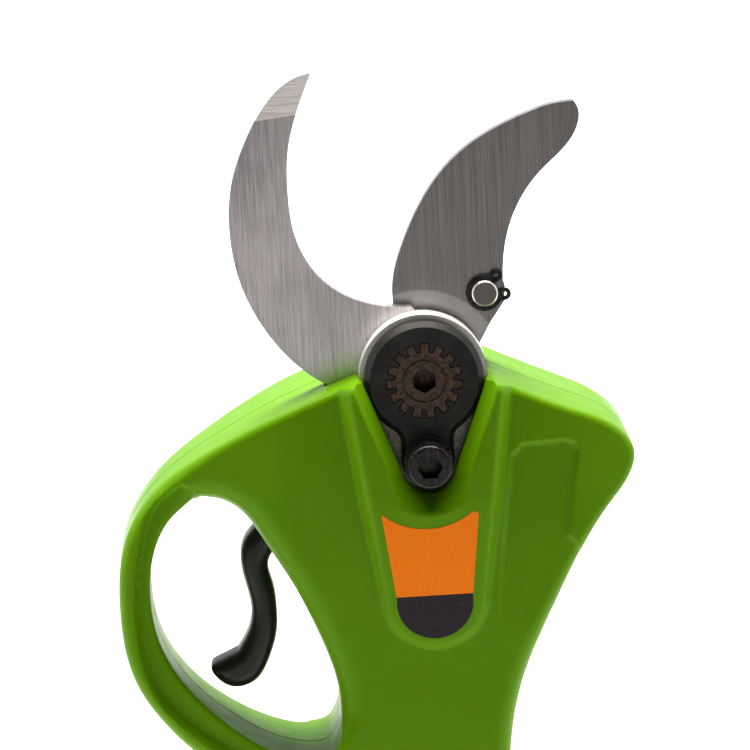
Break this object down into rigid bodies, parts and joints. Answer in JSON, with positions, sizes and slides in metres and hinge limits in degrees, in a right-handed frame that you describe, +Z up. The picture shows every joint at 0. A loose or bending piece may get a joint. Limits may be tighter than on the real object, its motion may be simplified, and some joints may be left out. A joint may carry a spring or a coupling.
{
  "type": "battery electric pruner",
  "caption": "Hand-held battery electric pruner: hook blade and powered swinging blade on a geared head, moulded pistol-guard housing with finger trigger, slide-in battery.",
  "frame": {"origin": "centre line of the motor, on the flat bottom of the battery pack", "axes": "+Z up along the handle to the blades, +X towards the moving blade's side (the side away from the trigger guard), -Y out of the face with the toothed lock nut"},
  "size_m": [0.1204, 0.0495, 0.2884],
  "materials": {
    "lime_plastic": "satin moulded",
    "badge_print": "printed film, orange over black",
    "black_plastic": "fine texture",
    "trigger_plastic": "satin moulded",
    "hook_steel": "cross ground",
    "blade_steel": "ground lengthwise",
    "cast_alloy": "cast, machined on the cheek",
    "phosphate_steel": "phosphated",
    "lock_plate_finish": "satin black",
    "black_oxide": "black oxide",
    "bright_steel": "ground",
    "gear_steel": "cut",
    "bronze": "sintered",
    "copper": "bare",
    "magnet": "sintered",
    "circuit_board": "lacquered",
    "wire_cover": "extruded",
    "cell_wrap": "shrink wrapped"
  },
  "bodies": {
    "body": {"housing_front": "lime_plastic", "housing_rear": "lime_plastic", "housing_screws": "black_oxide", "badge": "badge_print", "gear_head": "cast_alloy", "gear_cover": "cast_alloy", "cover_screws": "black_oxide", "fixed_blade": "hook_steel", "pivot_bolt": "phosphate_steel", "toothed_nut": "phosphate_steel", "lock_plate": "lock_plate_finish", "lock_washer": "black_oxide", "lock_screw": "black_oxide", "thrust_washer": "bright_steel", "bearing_outer_ring": "bright_steel", "ring_gear": "gear_steel", "gearbox_plate": "cast_alloy", "motor_can": "bright_steel", "motor_screws": "black_oxide", "motor_magnets": "magnet", "motor_end_bell": "black_plastic", "motor_brushes": "copper", "trigger_pin": "bright_steel", "trigger_spring": "bright_steel", "trigger_switch": "black_plastic", "power_switch": "black_plastic", "control_board": "circuit_board", "wiring": "wire_cover", "terminal_block": "black_plastic"},
    "swinging_blade": {"moving_blade": "blade_steel", "blade_bush": "bronze", "sector_gear": "gear_steel", "drive_pin": "bright_steel", "pin_circlip": "black_oxide"},
    "pinion": {"bevel_pinion": "gear_steel", "bearing_inner_ring": "bright_steel", "output_carrier": "gear_steel"},
    "ball_set": {"bearing_balls": "bright_steel"},
    "upper_planet_a": {"upper_planet_1": "gear_steel"},
    "upper_planet_b": {"upper_planet_2": "gear_steel"},
    "upper_planet_c": {"upper_planet_3": "gear_steel"},
    "sun_stage": {"sun_carrier": "gear_steel"},
    "lower_planet_a": {"lower_planet_1": "gear_steel"},
    "lower_planet_b": {"lower_planet_2": "gear_steel"},
    "lower_planet_c": {"lower_planet_3": "gear_steel"},
    "rotor": {"motor_pinion": "gear_steel", "motor_shaft": "bright_steel", "rotor_core": "gear_steel", "rotor_windings": "copper", "commutator": "copper"},
    "trigger_lever": {"trigger": "trigger_plastic"},
    "power_key": {"power_button": "black_plastic"},
    "battery_pack": {"battery_case": "black_plastic", "battery_cover": "black_plastic", "battery_cells": "cell_wrap", "battery_board": "circuit_board", "battery_contacts": "copper", "battery_screws": "black_oxide", "release_spring": "bright_steel"},
    "release_key": {"release_button": "black_plastic"}
  },
  "joints": [
    {"name": "blade_swing", "type": "hinge", "parent": "body", "child": "swinging_blade", "pos_m": [0, 0, 0.218], "axis": [0, -1, 0], "range_deg": [0, 57]},
    {"name": "pinion_spin", "type": "hinge", "parent": "body", "child": "pinion", "pos_m": [0, 0, 0.16], "axis": [0, 0, 1], "range_deg": [-230, 2]},
    {"name": "ball_orbit", "type": "hinge", "parent": "body", "child": "ball_set", "pos_m": [0, 0, 0.16], "axis": [0, 0, 1], "range_deg": [-92.06, 2]},
    {"name": "sun_spin", "type": "hinge", "parent": "body", "child": "sun_stage", "pos_m": [0, 0, 0.16], "axis": [0, 0, 1], "range_deg": [-1096.4, 2]},
    {"name": "rotor_spin", "type": "hinge", "parent": "body", "child": "rotor", "pos_m": [0, 0, 0.16], "axis": [0, 0, 1], "range_deg": [-5255.12, 2]},
    {"name": "upper_planet_1_spin", "type": "hinge", "parent": "pinion", "child": "upper_planet_a", "pos_m": [0.0072, 0, 0.16], "axis": [0, 0, 1], "range_deg": [-2, 620.86]},
    {"name": "upper_planet_2_spin", "type": "hinge", "parent": "pinion", "child": "upper_planet_b", "pos_m": [-0.0036, 0.00624, 0.16], "axis": [0, 0, 1], "range_deg": [-2, 620.86]},
    {"name": "upper_planet_3_spin", "type": "hinge", "parent": "pinion", "child": "upper_planet_c", "pos_m": [-0.0036, -0.00624, 0.16], "axis": [0, 0, 1], "range_deg": [-2, 620.86]},
    {"name": "lower_planet_1_spin", "type": "hinge", "parent": "sun_stage", "child": "lower_planet_a", "pos_m": [0.0072, 0, 0.16], "axis": [0, 0, 1], "range_deg": [-2, 2972.51]},
    {"name": "lower_planet_2_spin", "type": "hinge", "parent": "sun_stage", "child": "lower_planet_b", "pos_m": [-0.0036, 0.00624, 0.16], "axis": [0, 0, 1], "range_deg": [-2, 2972.51]},
    {"name": "lower_planet_3_spin", "type": "hinge", "parent": "sun_stage", "child": "lower_planet_c", "pos_m": [-0.0036, -0.00624, 0.16], "axis": [0, 0, 1], "range_deg": [-2, 2972.51]},
    {"name": "trigger_pull", "type": "hinge", "parent": "body", "child": "trigger_lever", "pos_m": [-0.031, 0, 0.1845], "axis": [0, -1, 0], "range_deg": [0, 12], "stiffness_Nm_per_rad": 0.5, "springref_deg": -11.46, "deforming": ["trigger_spring"]},
    {"name": "power_press", "type": "slide", "parent": "body", "child": "power_key", "axis": [0, 1, 0], "range_m": [0, 0.001], "stiffness_N_per_m": 1500, "springref_m": -0.0005},
    {"name": "battery_slide", "type": "slide", "parent": "body", "child": "battery_pack", "axis": [1, 0, 0], "range_m": [0, 0.07]},
    {"name": "release_press", "type": "slide", "parent": "battery_pack", "child": "release_key", "axis": [0, 0, -1], "range_m": [0, 0.0025], "stiffness_N_per_m": 800, "springref_m": -0.001, "deforming": ["release_spring"]}
  ],
  "couplings": [
    {"joint": "pinion_spin", "follows": "blade_swing", "ratio": -4},
    {"joint": "ball_orbit", "follows": "blade_swing", "ratio": -1.58},
    {"joint": "sun_spin", "follows": "blade_swing", "ratio": -19.2},
    {"joint": "rotor_spin", "follows": "blade_swing", "ratio": -92.16},
    {"joint": "upper_planet_1_spin", "follows": "blade_swing", "ratio": 10.857},
    {"joint": "upper_planet_2_spin", "follows": "blade_swing", "ratio": 10.857},
    {"joint": "upper_planet_3_spin", "follows": "blade_swing", "ratio": 10.857},
    {"joint": "lower_planet_1_spin", "follows": "blade_swing", "ratio": 52.114},
    {"joint": "lower_planet_2_spin", "follows": "blade_swing", "ratio": 52.114},
    {"joint": "lower_planet_3_spin", "follows": "blade_swing", "ratio": 52.114}
  ]
}
